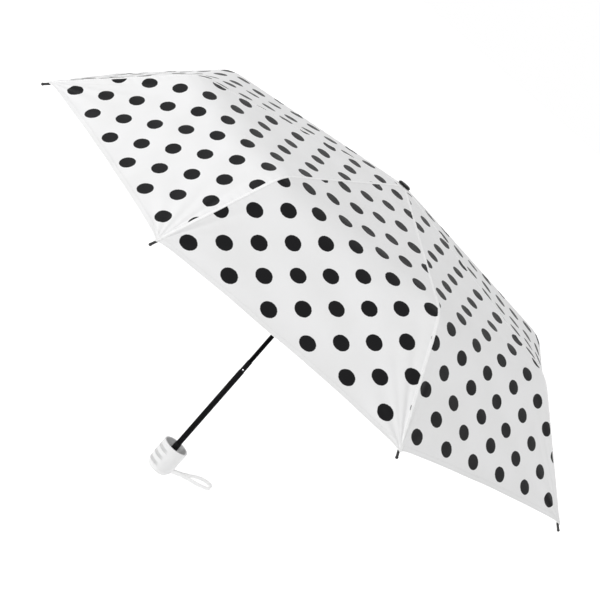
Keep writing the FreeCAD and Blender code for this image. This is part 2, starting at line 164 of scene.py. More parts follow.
def makeDotPrint():
    number = "NodeSocketFloat"
    tree, given, result = startGroup(
        "dotPrint", [("Vector", "NodeSocketVector", None), ("Across", number, 0.06),
                     ("Up", number, 0.06), ("Radius", number, 0.01), ("Bleed", number, 0.0004),
                     ("Lowest", number, -0.013)], ["Mask"])  # no dot reaches below Lowest
    parts = tree.nodes.new("ShaderNodeSeparateXYZ")
    tree.links.new(given.outputs["Vector"], parts.inputs[0])
    away = []
    for shift in (0.0, 0.5):  # two square grids, one in the middle of the other
        lengths = []
        for axis, period in (("X", "Across"), ("Y", "Up")):
            share = mathNode(tree, "DIVIDE", parts.outputs[axis], given.outputs[period])
            cell = mathNode(tree, "FRACT", mathNode(tree, "ADD", share, 100.5 + shift))
            offset = mathNode(tree, "MULTIPLY", mathNode(tree, "SUBTRACT", cell, 0.5), given.outputs[period])
            lengths.append(mathNode(tree, "POWER", mathNode(tree, "ABSOLUTE", offset), 2.0))
        away.append(mathNode(tree, "SQRT", mathNode(tree, "ADD", *lengths)))
    nearest = mathNode(tree, "MINIMUM", *away)
    ragged = noiseNode(tree, given.outputs["Vector"], 420.0, 2.0)
    edge = mathNode(tree, "MULTIPLY", mathNode(tree, "SUBTRACT", ragged, 0.5), 0.0012)
    gap = mathNode(tree, "SUBTRACT", mathNode(tree, "ADD", nearest, edge), given.outputs["Radius"])
    inside = mathNode(tree, "DIVIDE", gap, given.outputs["Bleed"])
    ink = ramp(tree, inside, -1.0, 1.0, 1.0, 0.0)
    printed = mathNode(tree, "GREATER_THAN", parts.outputs["Y"], given.outputs["Lowest"])
    tree.links.new(mathNode(tree, "MULTIPLY", ink, printed), result.inputs["Mask"])
    return tree


def makeMottle():
    number = "NodeSocketFloat"
    tree, given, result = startGroup(
        "mottle", [("Vector", "NodeSocketVector", None), ("Scale", number, 8.0), ("Low", number, 0.0),
                   ("High", number, 1.0)], ["Value"])
    broad = noiseNode(tree, given.outputs["Vector"], given.outputs["Scale"], 4.0)
    tree.links.new(ramp(tree, broad, 0.3, 0.7, given.outputs["Low"], given.outputs["High"]),
                   result.inputs["Value"])
    return tree


def makeScuffs():
    number = "NodeSocketFloat"
    tree, given, result = startGroup(
        "scuffs", [("Vector", "NodeSocketVector", None), ("Scale", number, 60.0), ("Amount", number, 0.5)],
        ["Mask", "Height"])
    lines = []
    for stretch in ((1.0, 1.0, 0.05), (0.12, 1.0, 1.0)):
        streaks = noiseNode(tree, given.outputs["Vector"], given.outputs["Scale"], 3.0, stretch)
        lines.append(ramp(tree, streaks, 0.62, 0.72))
    where = ramp(tree, noiseNode(tree, given.outputs["Vector"], 25.0, 2.0), 0.45, 0.65)
    both = mathNode(tree, "MAXIMUM", *lines)
    mask = mathNode(tree, "MULTIPLY", mathNode(tree, "MULTIPLY", both, where), given.outputs["Amount"])
    tree.links.new(mask, result.inputs["Mask"])
    tree.links.new(mathNode(tree, "SUBTRACT", 1.0, mask), result.inputs["Height"])
    return tree


plainWeave = makePlainWeave()
dotPrint = makeDotPrint()
mottle = makeMottle()
scuffs = makeScuffs()


def startMaterial(name, **constants):
    material = bpy.data.materials.new(name)
    material.use_nodes = True
    tree = material.node_tree
    surface = next(node for node in tree.nodes if node.type == "BSDF_PRINCIPLED")
    for label, value in constants.items():
        surface.inputs[label].default_value = value
    return material, tree, surface


def objectPlace(tree):
    return tree.nodes.new("ShaderNodeTexCoord").outputs["Object"]


def uvPlace(tree, name):
    made = tree.nodes.new("ShaderNodeUVMap")
    made.uv_map = name
    return made.outputs["UV"]


def bumped(tree, surface, height, distance, strength=1.0):
    made = tree.nodes.new("ShaderNodeBump")
    made.inputs["Distance"].default_value = distance
    made.inputs["Strength"].default_value = strength
    wired(tree, made.inputs["Height"], height)
    tree.links.new(made.outputs[0], surface.inputs["Normal"])


clothPrint = {
    "across": 0.0608,  # metres between dots in one row along the hem
    "up": 0.0650,  # and between every second row
    "dotRadius": 0.0110,
    "white": (0.86, 0.86, 0.865, 1),
    "whiteDull": (0.835, 0.835, 0.835, 1),
    # painted highlight: the seam band over each rib is coloured brighter than the cloth
    "seamPaintedHighlight": (0.95, 0.95, 0.95, 1),
    "ink": (0.006, 0.006, 0.007, 1),
    "inkBehind": (0.34, 0.34, 0.35, 1),  # how the dots show on the under side
    "seamBand": (0.0019, 0.0024),  # metres from the rib where the unprinted seam band ends; the band is also coloured brighter, a painted highlight
    "threads": 2400.0,  # per metre
}


def clothMaterial(name, ink, bleed):
    material, tree, surface = startMaterial(name, **{
        "Sheen Weight": 0.03, "Sheen Roughness": 0.4, "Specular IOR Level": 0.14})
    place = uvPlace(tree, "print")
    dots = placeGroup(tree, dotPrint, place, Across=clothPrint["across"], Up=clothPrint["up"],
                      Radius=clothPrint["dotRadius"], Bleed=bleed)["Mask"]
    beside = tree.nodes.new("ShaderNodeSeparateXYZ")
    tree.links.new(uvPlace(tree, "beside"), beside.inputs[0])
    seam = ramp(tree, beside.outputs["X"], *clothPrint["seamBand"], 1.0, 0.0)
    dots = mathNode(tree, "MULTIPLY", dots, mathNode(tree, "SUBTRACT", 1.0, seam))
    weave = placeGroup(tree, plainWeave, place, Threads=clothPrint["threads"], Slub=0.5)
    broad = placeGroup(tree, mottle, place, Scale=14.0)["Value"]
    white = mixColour(tree, broad, clothPrint["white"], clothPrint["whiteDull"])
    # the seam band is unprinted, and it is coloured brighter as a painted highlight along the ridge over the
    # rib
    white = mixColour(tree, seam, white, clothPrint["seamPaintedHighlight"])
    tree.links.new(mixColour(tree, dots, white, ink), surface.inputs["Base Color"])
    dull = placeGroup(tree, mottle, place, Scale=30.0, Low=0.46, High=0.56)["Value"]
    tree.links.new(mathNode(tree, "SUBTRACT", dull, mathNode(tree, "MULTIPLY", dots, 0.06)),
                   surface.inputs["Roughness"])
    bumped(tree, surface, weave["Height"], 0.00006, 0.6)
    return material


def threadMaterial():
    material, tree, surface = startMaterial("hemThread", Roughness=0.6)
    place = objectPlace(tree)
    twist = noiseNode(tree, place, 900.0, 1.0)
    tree.links.new(mixColour(tree, twist, (0.74, 0.74, 0.74, 1), (0.86, 0.86, 0.86, 1)),
                   surface.inputs["Base Color"])
    bumped(tree, surface, twist, 0.0001)
    return material


def tapeMaterial():
    material, tree, surface = startMaterial("strapTape", **{"Sheen Weight": 0.2})
    place = uvPlace(tree, "tape")
    weave = placeGroup(tree, plainWeave, place, Threads=1300.0, Slub=0.8)
    broad = placeGroup(tree, mottle, place, Scale=60.0)["Value"]
    tree.links.new(mixColour(tree, broad, (0.95, 0.95, 0.945, 1), (0.91, 0.91, 0.905, 1)),
                   surface.inputs["Base Color"])
    surface.inputs["Roughness"].default_value = 0.75
    bumped(tree, surface, weave["Height"], 0.0003)
    return material


def plasticMaterial(name, light, dark, rough, grain, scratch, **constants):
    material, tree, surface = startMaterial(name, **constants)
    place = objectPlace(tree)
    worn = placeGroup(tree, scuffs, place, Scale=160.0, Amount=scratch)
    broad = placeGroup(tree, mottle, place, Scale=35.0)["Value"]
    base = mixColour(tree, broad, light, dark)
    tree.links.new(mixColour(tree, worn["Mask"], base, [0.5 * (a + 0.45) for a in light[:3]] + [1]),
                   surface.inputs["Base Color"])
    dull = placeGroup(tree, mottle, place, Scale=90.0, Low=rough - 0.05, High=rough + 0.06)["Value"]
    tree.links.new(mathNode(tree, "ADD", dull, mathNode(tree, "MULTIPLY", worn["Mask"], 0.2)),
                   surface.inputs["Roughness"])
    pebble = noiseNode(tree, place, grain, 2.0)
    bumped(tree, surface, mathNode(tree, "MULTIPLY", pebble, worn["Height"]), 0.00004, 0.8)
    return material


def metalMaterial(name, light, dark, rough, metallic, drawn, bare=(0.05, 0.05, 0.052, 1), **constants):
    material, tree, surface = startMaterial(name, Metallic=metallic, **constants)
    place = objectPlace(tree)
    lines = noiseNode(tree, place, 900.0, 2.0, drawn)  # drawing lines that run along the part
    worn = placeGroup(tree, scuffs, place, Scale=240.0, Amount=0.35)
    broad = placeGroup(tree, mottle, place, Scale=18.0)["Value"]
    base = mixColour(tree, broad, light, dark)
    tree.links.new(mixColour(tree, worn["Mask"], base, bare), surface.inputs["Base Color"])
    tree.links.new(ramp(tree, lines, 0.25, 0.75, rough - 0.04, rough + 0.07), surface.inputs["Roughness"])
    bumped(tree, surface, mathNode(tree, "MULTIPLY", lines, worn["Height"]), 0.00001, 0.5)
    return material


# painted shade: the three finger grooves of the grip are coloured grey where shade falls in the recesses
paintedGripShade = {
    "heights": (0.0125, 0.0243, 0.0361),  # heights of the painted groove shade, metres above the foot
    "halfLength": 0.0025,
    "outsideFrom": 0.0188,  # no painted shade nearer to the axis
    "edgeShares": (0.3, 1.5),  # where the painted shade of a groove fades, in half lengths
    "way": (math.cos(math.radians(-134)), math.sin(math.radians(-134))),
    "shade": (0.55, 0.55, 0.55, 1),
}


def gripMaterial(light, dark, rough):
    material, tree, surface = startMaterial("handleGrip")
    place = objectPlace(tree)
    parts = tree.nodes.new("ShaderNodeSeparateXYZ")
    tree.links.new(place, parts.inputs[0])
    x, y, z = (parts.outputs[axis] for axis in "XYZ")
    radius = mathNode(tree, "SQRT", mathNode(tree, "ADD", mathNode(tree, "POWER", x, 2.0),
                                             mathNode(tree, "POWER", y, 2.0)))
    wayX, wayY = paintedGripShade["way"]
    along = mathNode(tree, "ADD", mathNode(tree, "MULTIPLY", x, wayX), mathNode(tree, "MULTIPLY", y, wayY))
    facing = mathNode(tree, "DIVIDE", along, radius)
    sector = ramp(tree, facing, 0.80, 0.97)
    fadeFrom, fadeTo = (paintedGripShade["halfLength"] * share for share in paintedGripShade["edgeShares"])
    bands = None
    for height in paintedGripShade["heights"]:
        away = mathNode(tree, "ABSOLUTE", mathNode(tree, "SUBTRACT", z, height))
        band = ramp(tree, away, fadeFrom, fadeTo, 1.0, 0.0)
        bands = band if bands is None else mathNode(tree, "MAXIMUM", bands, band)
    outside = mathNode(tree, "GREATER_THAN", radius, paintedGripShade["outsideFrom"])
    paintedGrooveShade = mathNode(tree, "MULTIPLY", mathNode(tree, "MULTIPLY", bands, sector), outside)
    broad = placeGroup(tree, mottle, place, Scale=35.0)["Value"]
    worn = placeGroup(tree, scuffs, place, Scale=160.0, Amount=0.1)
    # painted shade: the grooves get a grey over the plastic colour
    base = mixColour(tree, paintedGrooveShade, mixColour(tree, broad, light, dark), paintedGripShade["shade"])
    tree.links.new(mixColour(tree, worn["Mask"], base, (0.66, 0.66, 0.66, 1)), surface.inputs["Base Color"])
    dull = placeGroup(tree, mottle, place, Scale=90.0, Low=rough - 0.05, High=rough + 0.06)["Value"]
    tree.links.new(mathNode(tree, "ADD", dull, mathNode(tree, "MULTIPLY", paintedGrooveShade, 0.2)),
                   surface.inputs["Roughness"])
    pebble = noiseNode(tree, place, 2600.0, 2.0)
    bumped(tree, surface, mathNode(tree, "MULTIPLY", pebble, worn["Height"]), 0.00004, 0.8)
    return material


materials = {
    "handleGrip": gripMaterial((0.75, 0.75, 0.75, 1), (0.71, 0.71, 0.71, 1), 0.36),
    "clothOver": clothMaterial("clothOver", clothPrint["ink"], 0.00035),
    "clothUnder": clothMaterial("clothUnder", clothPrint["inkBehind"], 0.0008),
    "hemThread": threadMaterial(),
    "strap_tape": tapeMaterial(),
    "handle_plastic": plasticMaterial("handlePlastic", (0.75, 0.75, 0.75, 1), (0.71, 0.71, 0.71, 1), 0.36,
                                      2600.0, 0.12),
    "black_plastic": plasticMaterial("blackPlastic", (0.006, 0.006, 0.0065, 1), (0.011, 0.011, 0.011, 1),
                                     0.42, 2200.0, 0.15, **{"Specular IOR Level": 0.15}),
    "tip_plastic": plasticMaterial("tipPlastic", (0.014, 0.014, 0.015, 1), (0.022, 0.022, 0.022, 1), 0.24,
                                   1800.0, 0.1),
    "shaft_steel": metalMaterial("shaftEnamel", (0.003, 0.003, 0.0033, 1), (0.005, 0.005, 0.0055, 1),
                                 0.26, 0.0, (1.0, 1.0, 0.02), bare=(0.03, 0.03, 0.031, 1),
                                 **{"Specular IOR Level": 0.06}),
    "rib_steel": metalMaterial("ribCoat", (0.02, 0.02, 0.021, 1), (0.034, 0.034, 0.035, 1), 0.38, 0.3,
                               (0.2, 0.2, 1.0)),
    "bright_steel": metalMaterial("brightZinc", (0.78, 0.78, 0.79, 1), (0.66, 0.66, 0.68, 1), 0.24, 1.0,
                                  (1.0, 1.0, 0.05)),
}
for name, node in nodes.items():
    for holder in node.material_slots:
        if holder.material and holder.material.name in materials:
            holder.material = materials["handleGrip" if name == "handle_grip" else holder.material.name]
print("materials made:", len(materials))


wristStrap = {
    "turn": math.radians(45),  # where its anchor is on the handle
    "height": 0.0035,  # the tape's middle, above what the handle stands on
    "tapeWidth": 0.0064,
    "tapeThickness": 0.0012,
    "edgeRadius": 0.0003,
    "route": [(0.0281, -0.0015), (0.0448, -0.0019), (0.0629, -0.0055), (0.0811, -0.0115), (0.1005, -0.0140),
              (0.1148, -0.0092), (0.1180, 0.0028), (0.1070, 0.0098), (0.0888, 0.0090), (0.0707, 0.0048),
              (0.0500, 0.0020), (0.0281, 0.0015)],
}


def geometryTree(name, inputs):
    tree = bpy.data.node_groups.new(name, "GeometryNodeTree")
    tree.interface.new_socket("Geometry", in_out="INPUT", socket_type="NodeSocketGeometry")
    for label, kind, value in inputs:
        socket = tree.interface.new_socket(label, in_out="INPUT", socket_type=kind)
        if value is not None:
            socket.default_value = value
    tree.interface.new_socket("Geometry", in_out="OUTPUT", socket_type="NodeSocketGeometry")
    return tree, tree.nodes.new("NodeGroupInput"), tree.nodes.new("NodeGroupOutput")


def runTree(carrier, tree, values):
    modifier = carrier.modifiers.new("rule", "NODES")
    modifier.node_group = tree
    for item in tree.interface.items_tree:
        if item.item_type == "SOCKET" and item.in_out == "INPUT" and item.name in values:
            modifier[item.identifier] = values[item.name]
    graph = bpy.context.evaluated_depsgraph_get()
    graph.update()
    mesh = bpy.data.meshes.new_from_object(carrier.evaluated_get(graph), depsgraph=graph)
    carrier.modifiers.remove(modifier)
    return mesh


def makeTapeRule():
    number = "NodeSocketFloat"
    tree, given, result = geometryTree("tapeAlongRoute", [
        ("Width", number, 0.006), ("Thickness", number, 0.001), ("Edge Radius", number, 0.0003),
        ("Material", "NodeSocketMaterial", None)])
    outline = tree.nodes.new("GeometryNodeCurvePrimitiveQuadrilateral")
    soft = tree.nodes.new("GeometryNodeFilletCurve")
    sweep = tree.nodes.new("GeometryNodeCurveToMesh")
    real = tree.nodes.new("GeometryNodeRealizeInstances")
    finish = tree.nodes.new("GeometryNodeSetMaterial")
    soft.mode = "POLY"
    soft.inputs["Count"].default_value = 2
    sweep.inputs["Fill Caps"].default_value = True
    for start, end in (
        (given.outputs["Thickness"], outline.inputs["Width"]),
        (given.outputs["Width"], outline.inputs["Height"]),
        (outline.outputs["Curve"], soft.inputs["Curve"]),
        (given.outputs["Edge Radius"], soft.inputs["Radius"]),
        (given.outputs["Geometry"], sweep.inputs["Curve"]),
        (soft.outputs["Curve"], sweep.inputs["Profile Curve"]),
        (sweep.outputs["Mesh"], real.inputs["Geometry"]),
        (real.outputs["Geometry"], finish.inputs["Geometry"]),
        (given.outputs["Material"], finish.inputs["Material"]),
        (finish.outputs["Geometry"], result.inputs["Geometry"]),
    ):
        tree.links.new(start, end)
    return tree


def makeWristStrap(settings):
    turn = Matrix.Rotation(settings["turn"], 4, "Z")
    data = bpy.data.curves.new("strapRoute", "CURVE")
    data.dimensions = "3D"
    data.twist_mode = "Z_UP"
    data.resolution_u = 12
    spline = data.splines.new("NURBS")
    spline.points.add(len(settings["route"]) - 1)
    for point, (x, y) in zip(spline.points, settings["route"]):
        point.co = (*(turn @ Vector((x, y, settings["height"]))), 1)
    spline.order_u = 3
    spline.use_endpoint_u = True
    route = bpy.data.objects.new("strapRoute", data)
    scene.collection.objects.link(route)
    graph = bpy.context.evaluated_depsgraph_get()
    line = bpy.data.meshes.new_from_object(route.evaluated_get(graph), depsgraph=graph)
    path = [vertex.co.copy() for vertex in line.vertices]
    mesh = runTree(route, makeTapeRule(), {
        "Width": settings["tapeWidth"], "Thickness": settings["tapeThickness"],
        "Edge Radius": settings["edgeRadius"], "Material": materials["strap_tape"]})
    mesh.materials.clear()
    mesh.materials.append(materials["strap_tape"])
    steps = np.array([list(point) for point in path])
    run = np.concatenate([[0], np.cumsum(np.linalg.norm(np.diff(steps, axis=0), axis=1))])
    print("strap line length:", round(float(run[-1]), 4))
    layer = mesh.uv_layers.new(name="tape")
    for loop in mesh.loops:
        place = np.array(mesh.vertices[loop.vertex_index].co)
        nearest = int(np.argmin(((steps - place) ** 2).sum(axis=1)))
        layer.data[loop.index].uv = (run[nearest], place[2])
    strap = bpy.data.objects.new("wristStrap", mesh)
    scene.collection.objects.link(strap)
    for polygon in mesh.polygons:
        polygon.use_smooth = False
    bpy.data.objects.remove(route)
    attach(strap, "handle")
    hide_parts("wrist_strap")


makeWristStrap(wristStrap)
print("wrist strap made")


canopy = {
    "crown": (0.0060, 0.5660),  # radius and height of the ridge over a rib, metres
    "knee": (0.3352, 0.5136),
    "hem": (0.4850, 0.3840),
    "hinges": (0.0090, 0.1720),  # radii of the ribs' first two hinges; the third is at the knee
    "cornerReach": 0.0034,  # how far each corner is pulled out to its rib tip
    "cornerWidth": 0.006,
    "ribBend": 0.020,  # how far the bend at the knee reaches, over a rib
    "panelBend": 0.044,  # and half way between two ribs
    "hemScoop": 0.0042,
    "panelSag": 0.0022,
    "tilts": (0.059, 0.258),  # how steeply a panel leaves its rib, inside and outside the knee
    "seamRound": 0.0028,
    "seamRise": 0.00055,
    "seamWidth": 0.0024,
    "hemWidth": 0.0075,
    "hemRise": 0.0003,
    "thickness": 0.0003,
    "foldHeight": 0.0008,
    "foldReach": 0.034,
    "creaseDepth": 0.0016,
    "creaseReach": 0.055,
    "ripple": 0.00032,
    "puckerHeight": 0.00022,
    "puckerPitch": 0.0145,
    "rowStep": 0.0042,
    "columnStep": 0.0052,
    "foldedShare": 0.065,  # what is left of a piece's width when the umbrella is closed
}
# how the print lies on each panel: where its first row starts, dot to dot across and up, and its lean
printLie = [(-0.0290, 0.0246, 0.0609, 0.0648, 0.03), (-0.0340, 0.0238, 0.0606, 0.0652, -0.02),
            (-0.0318, 0.0230, 0.0610, 0.0650, 0.01), (-0.0302, 0.0242, 0.0607, 0.0647, -0.01),
            (-0.0326, 0.0221, 0.0600, 0.0653, -0.111), (-0.0359, 0.0241, 0.0607, 0.0655, 0.011),
            (-0.0313, 0.0226, 0.0621, 0.0626, 0.160), (-0.0322, 0.0236, 0.0608, 0.0650, 0.02)]
rowRandom = np.random.RandomState(11)
ripples = [[(rowRandom.uniform(0.045, 0.13), rowRandom.uniform(0, math.pi), rowRandom.uniform(0, 2 * math.pi))
            for _ in range(6)] for _ in range(ribCount)]
foldPhases = rowRandom.uniform(0, 2 * math.pi, (ribCount, 2))
foldNumbers = rowRandom.uniform(5.0, 8.0, (ribCount, 2))
foldSizes = rowRandom.uniform(0.6, 1.25, (ribCount, 2))
puckerPhases = rowRandom.uniform(0, 2 * math.pi, ribCount)
creases = [[[(rowRandom.uniform(0.09, 0.13), 0.045, rowRandom.uniform(0.7, 1.1)),
             (rowRandom.uniform(0.26, 0.36), 0.07, rowRandom.uniform(0.3, 0.7))]
            for _ in range(2)] for _ in range(ribCount)]

crown, knee, hem = (np.array(canopy[name]) for name in ("crown", "knee", "hem"))
innerLength = float(np.linalg.norm(crown - knee))
outerLength = float(np.linalg.norm(hem - knee))
innerWay, outerWay = (crown - knee) / innerLength, (hem - knee) / outerLength
halfSine = math.sin(ribGap / 2)


def reachAt(radius):  # the run at a radius: below 0 inside the knee
    way = -innerWay[0] if radius < knee[0] else outerWay[0]
    return (radius - knee[0]) / way


def ridgeLine(run, bend):  # run is 0 at the knee, less than 0 towards the crown
    share = np.clip((run + bend) / (2 * bend), 0, 1)
    inside = np.maximum(-run - bend, 0) + bend * (1 - share) ** 2
    outside = np.maximum(run - bend, 0) + bend * share ** 2
    return (knee[0] + inside * innerWay[0] + outside * outerWay[0],
            knee[1] + inside * innerWay[1] + outside * outerWay[1])


def plainPanel(panel, across, run):  # across goes from 0 at one rib to 1 at the next
    middle = 4 * across * (1 - across)
    bend = canopy["ribBend"] + (canopy["panelBend"] - canopy["ribBend"]) * middle
    held = np.where(run > 0, run * (1 - canopy["hemScoop"] / outerLength * middle), run)
    aside = np.minimum(across, 1 - across) * 2 * hem[0] * halfSine
    held = held + canopy["cornerReach"] * np.exp(-aside / canopy["cornerWidth"]) * np.clip(
        1 - (outerLength - run) / 0.02, 0, 1) ** 2
    radius, height = ridgeLine(held, bend)
    start = firstRib + panel * ribGap
    x = radius * ((1 - across) * math.cos(start) + across * math.cos(start + ribGap))
    y = radius * ((1 - across) * math.sin(start) + across * math.sin(start + ribGap))
    return np.stack([x, y, height], axis=-1)


def crossNormal(alongAcross, alongRun):
    normal = np.cross(alongRun, alongAcross)
    normal /= np.linalg.norm(normal, axis=-1, keepdims=True)
    return np.where(normal[..., 2:] < 0, -normal, normal)


def differences(surface, panel, across, run, step=2e-4):
    small = 1e-3
    a = surface(panel, np.minimum(across + small, 1), run)
    a = a - surface(panel, np.maximum(across - small, 0), run)
    r = surface(panel, across, run + step) - surface(panel, across, run - step)
    return crossNormal(a, r)


def panelHeight(panel, across, run):
    sharpRadius = knee[0] + np.where(run < 0, -run * innerWay[0], run * outerWay[0])
    chord = 2 * sharpRadius * halfSine
    fromRib = np.minimum(across, 1 - across) * chord
    middle = 4 * across * (1 - across)
    side = int(np.mean(across) > 0.5)
    # the cloth rounds over each rib instead of creasing
    outer = 0.5 + 0.5 * np.tanh(run / 0.03)
    innerTilt, outerTilt = canopy["tilts"]
    tilt = innerTilt + (outerTilt - innerTilt) * outer
    rise = tilt * (fromRib + canopy["seamRound"] - np.sqrt(fromRib ** 2 + canopy["seamRound"] ** 2))
    rise = rise + canopy["seamRise"] * (0.5 - 0.5 * np.tanh((fromRib - canopy["seamWidth"]) / 0.0005))
    # folds that fan out from each corner
    toHem = outerLength - run
    distance = np.sqrt(fromRib ** 2 + toHem ** 2) + 1e-6
    angle = np.arctan2(fromRib, np.maximum(toHem, 1e-6)) / 1.28
    reach = canopy["foldReach"]
    fan = np.sin(foldNumbers[panel][side] * angle * 2.2 + foldPhases[panel][side]) * foldSizes[panel][side]
    fade = distance / reach * np.exp(1 - distance / reach)
    rise = rise + canopy["foldHeight"] * fan * fade * np.clip(angle / 0.12, 0, 1) ** 2 * np.exp(-angle * 0.6)
    # two sharper creases that run up from the corner beside the seam
    for creaseAngle, creaseWidth, creaseShare in creases[panel][side]:
        valley = np.exp(-((angle - creaseAngle) / creaseWidth) ** 2)
        near = distance / canopy["creaseReach"]
        fade = near ** 1.5 * np.exp(1.5 - 1.5 * near)
        rise = rise - canopy["creaseDepth"] * creaseShare * valley * fade
    # puckers beside the seam
    pucker = np.sin(2 * math.pi * run / canopy["puckerPitch"] + puckerPhases[panel]
                    + 1.3 * np.sin(run * 31 + panel))
    rise = rise + canopy["puckerHeight"] * pucker * (fromRib / 0.004) * np.exp(1 - fromRib / 0.004)
    # slow ripples and the slack of the panel
    x, y = (across - 0.5) * chord, run
    for length, way, phase in ripples[panel]:
        rise = rise + canopy["ripple"] * middle * np.sin(
            2 * math.pi / length * (x * math.cos(way) + y * math.sin(way)) + phase)
    rise = rise - canopy["panelSag"] * middle * np.cos(np.clip(run / outerLength, -1, 1) * math.pi / 2)
    # the hem is turned over and sewn
    rise = rise + canopy["hemRise"] * (0.5 + 0.5 * np.tanh((run - outerLength + canopy["hemWidth"]) / 0.0005))
    return rise


def clothPanel(panel, across, run):
    return plainPanel(panel, across, run) + panelHeight(panel, across, run)[..., None] * differences(
        plainPanel, panel, across, run)


def makeStitchRule():
    number = "NodeSocketFloat"
    tree, given, result = geometryTree("stitchRow", [
        ("Pitch", number, 0.003), ("Length", number, 0.002), ("Width", number, 0.0003),
        ("Material", "NodeSocketMaterial", None)])
    points = tree.nodes.new("GeometryNodeCurveToPoints")
    points.mode = "LENGTH"
    bead = tree.nodes.new("GeometryNodeMeshUVSphere")
    bead.inputs["Segments"].default_value = 6
    bead.inputs["Rings"].default_value = 4
    bead.inputs["Radius"].default_value = 0.5
    size = tree.nodes.new("ShaderNodeCombineXYZ")
    place = tree.nodes.new("GeometryNodeInstanceOnPoints")
    real = tree.nodes.new("GeometryNodeRealizeInstances")
    finish = tree.nodes.new("GeometryNodeSetMaterial")
    for start, end in (
        (given.outputs["Geometry"], points.inputs["Curve"]),
        (given.outputs["Pitch"], points.inputs["Length"]),
        (given.outputs["Width"], size.inputs["X"]), (given.outputs["Width"], size.inputs["Y"]),
        (given.outputs["Length"], size.inputs["Z"]), (points.outputs["Points"], place.inputs["Points"]),
        (bead.outputs["Mesh"], place.inputs["Instance"]),
        (points.outputs["Rotation"], place.inputs["Rotation"]),
        (size.outputs[0], place.inputs["Scale"]), (place.outputs["Instances"], real.inputs["Geometry"]),
        (real.outputs["Geometry"], finish.inputs["Geometry"]),
        (given.outputs["Material"], finish.inputs["Material"]),
        (finish.outputs["Geometry"], result.inputs["Geometry"]),
    ):
        tree.links.new(start, end)
    return tree


stitchRule = makeStitchRule()
stitches = {
    "pitch": 0.0034,
    "length": 0.0027,
    "width": 0.00042,
    "fromSeam": 0.0017,
    "fromHem": (0.0016, 0.0060),
    "startRadius": 0.03,  # the seams' rows start outside the crown patch
}


def stitchMesh(rows):
    data = bpy.data.curves.new("stitchRows", "CURVE")
    data.dimensions = "3D"
    for row in rows:
        spline = data.splines.new("POLY")
        spline.points.add(len(row) - 1)
        spline.points.foreach_set("co", np.hstack([row, np.ones((len(row), 1))]).ravel())
    carrier = bpy.data.objects.new("stitchRows", data)
    scene.collection.objects.link(carrier)
    mesh = runTree(carrier, stitchRule, {
        "Pitch": stitches["pitch"], "Length": stitches["length"], "Width": stitches["width"],
        "Material": materials["hemThread"]})
    bpy.data.objects.remove(carrier)
    return mesh


def columnShares():
    full = hem[0] * halfSine
    near = np.array([0, 0.0006, 0.0012, 0.0018, 0.0022, 0.0026, 0.0032, 0.0040, 0.0050, 0.0062, 0.0076,
                     0.0092, 0.0110, 0.0130, 0.0152, 0.0176, 0.0204, 0.0238, 0.0278])
    rest = np.linspace(near[-1], full, 1 + int(round((full - near[-1]) / canopy["columnStep"])))
    return np.concatenate([near, rest[1:]]) / full / 2


def rowPlaces(low, high):
    count = max(2, int(round((high - low) / canopy["rowStep"])))
    places = np.linspace(low, high, count + 1)
    if high >= outerLength - 1e-6:  # more rows where the hem is turned over
        edge = outerLength - canopy["hemWidth"]
        places = places[places < edge - 0.002]
        turned = edge + np.array([-0.0014, -0.0007, 0, 0.0007, 0.0014, 0.0035, 0.0056])
        places = np.concatenate([places, turned, [high]])
    return places


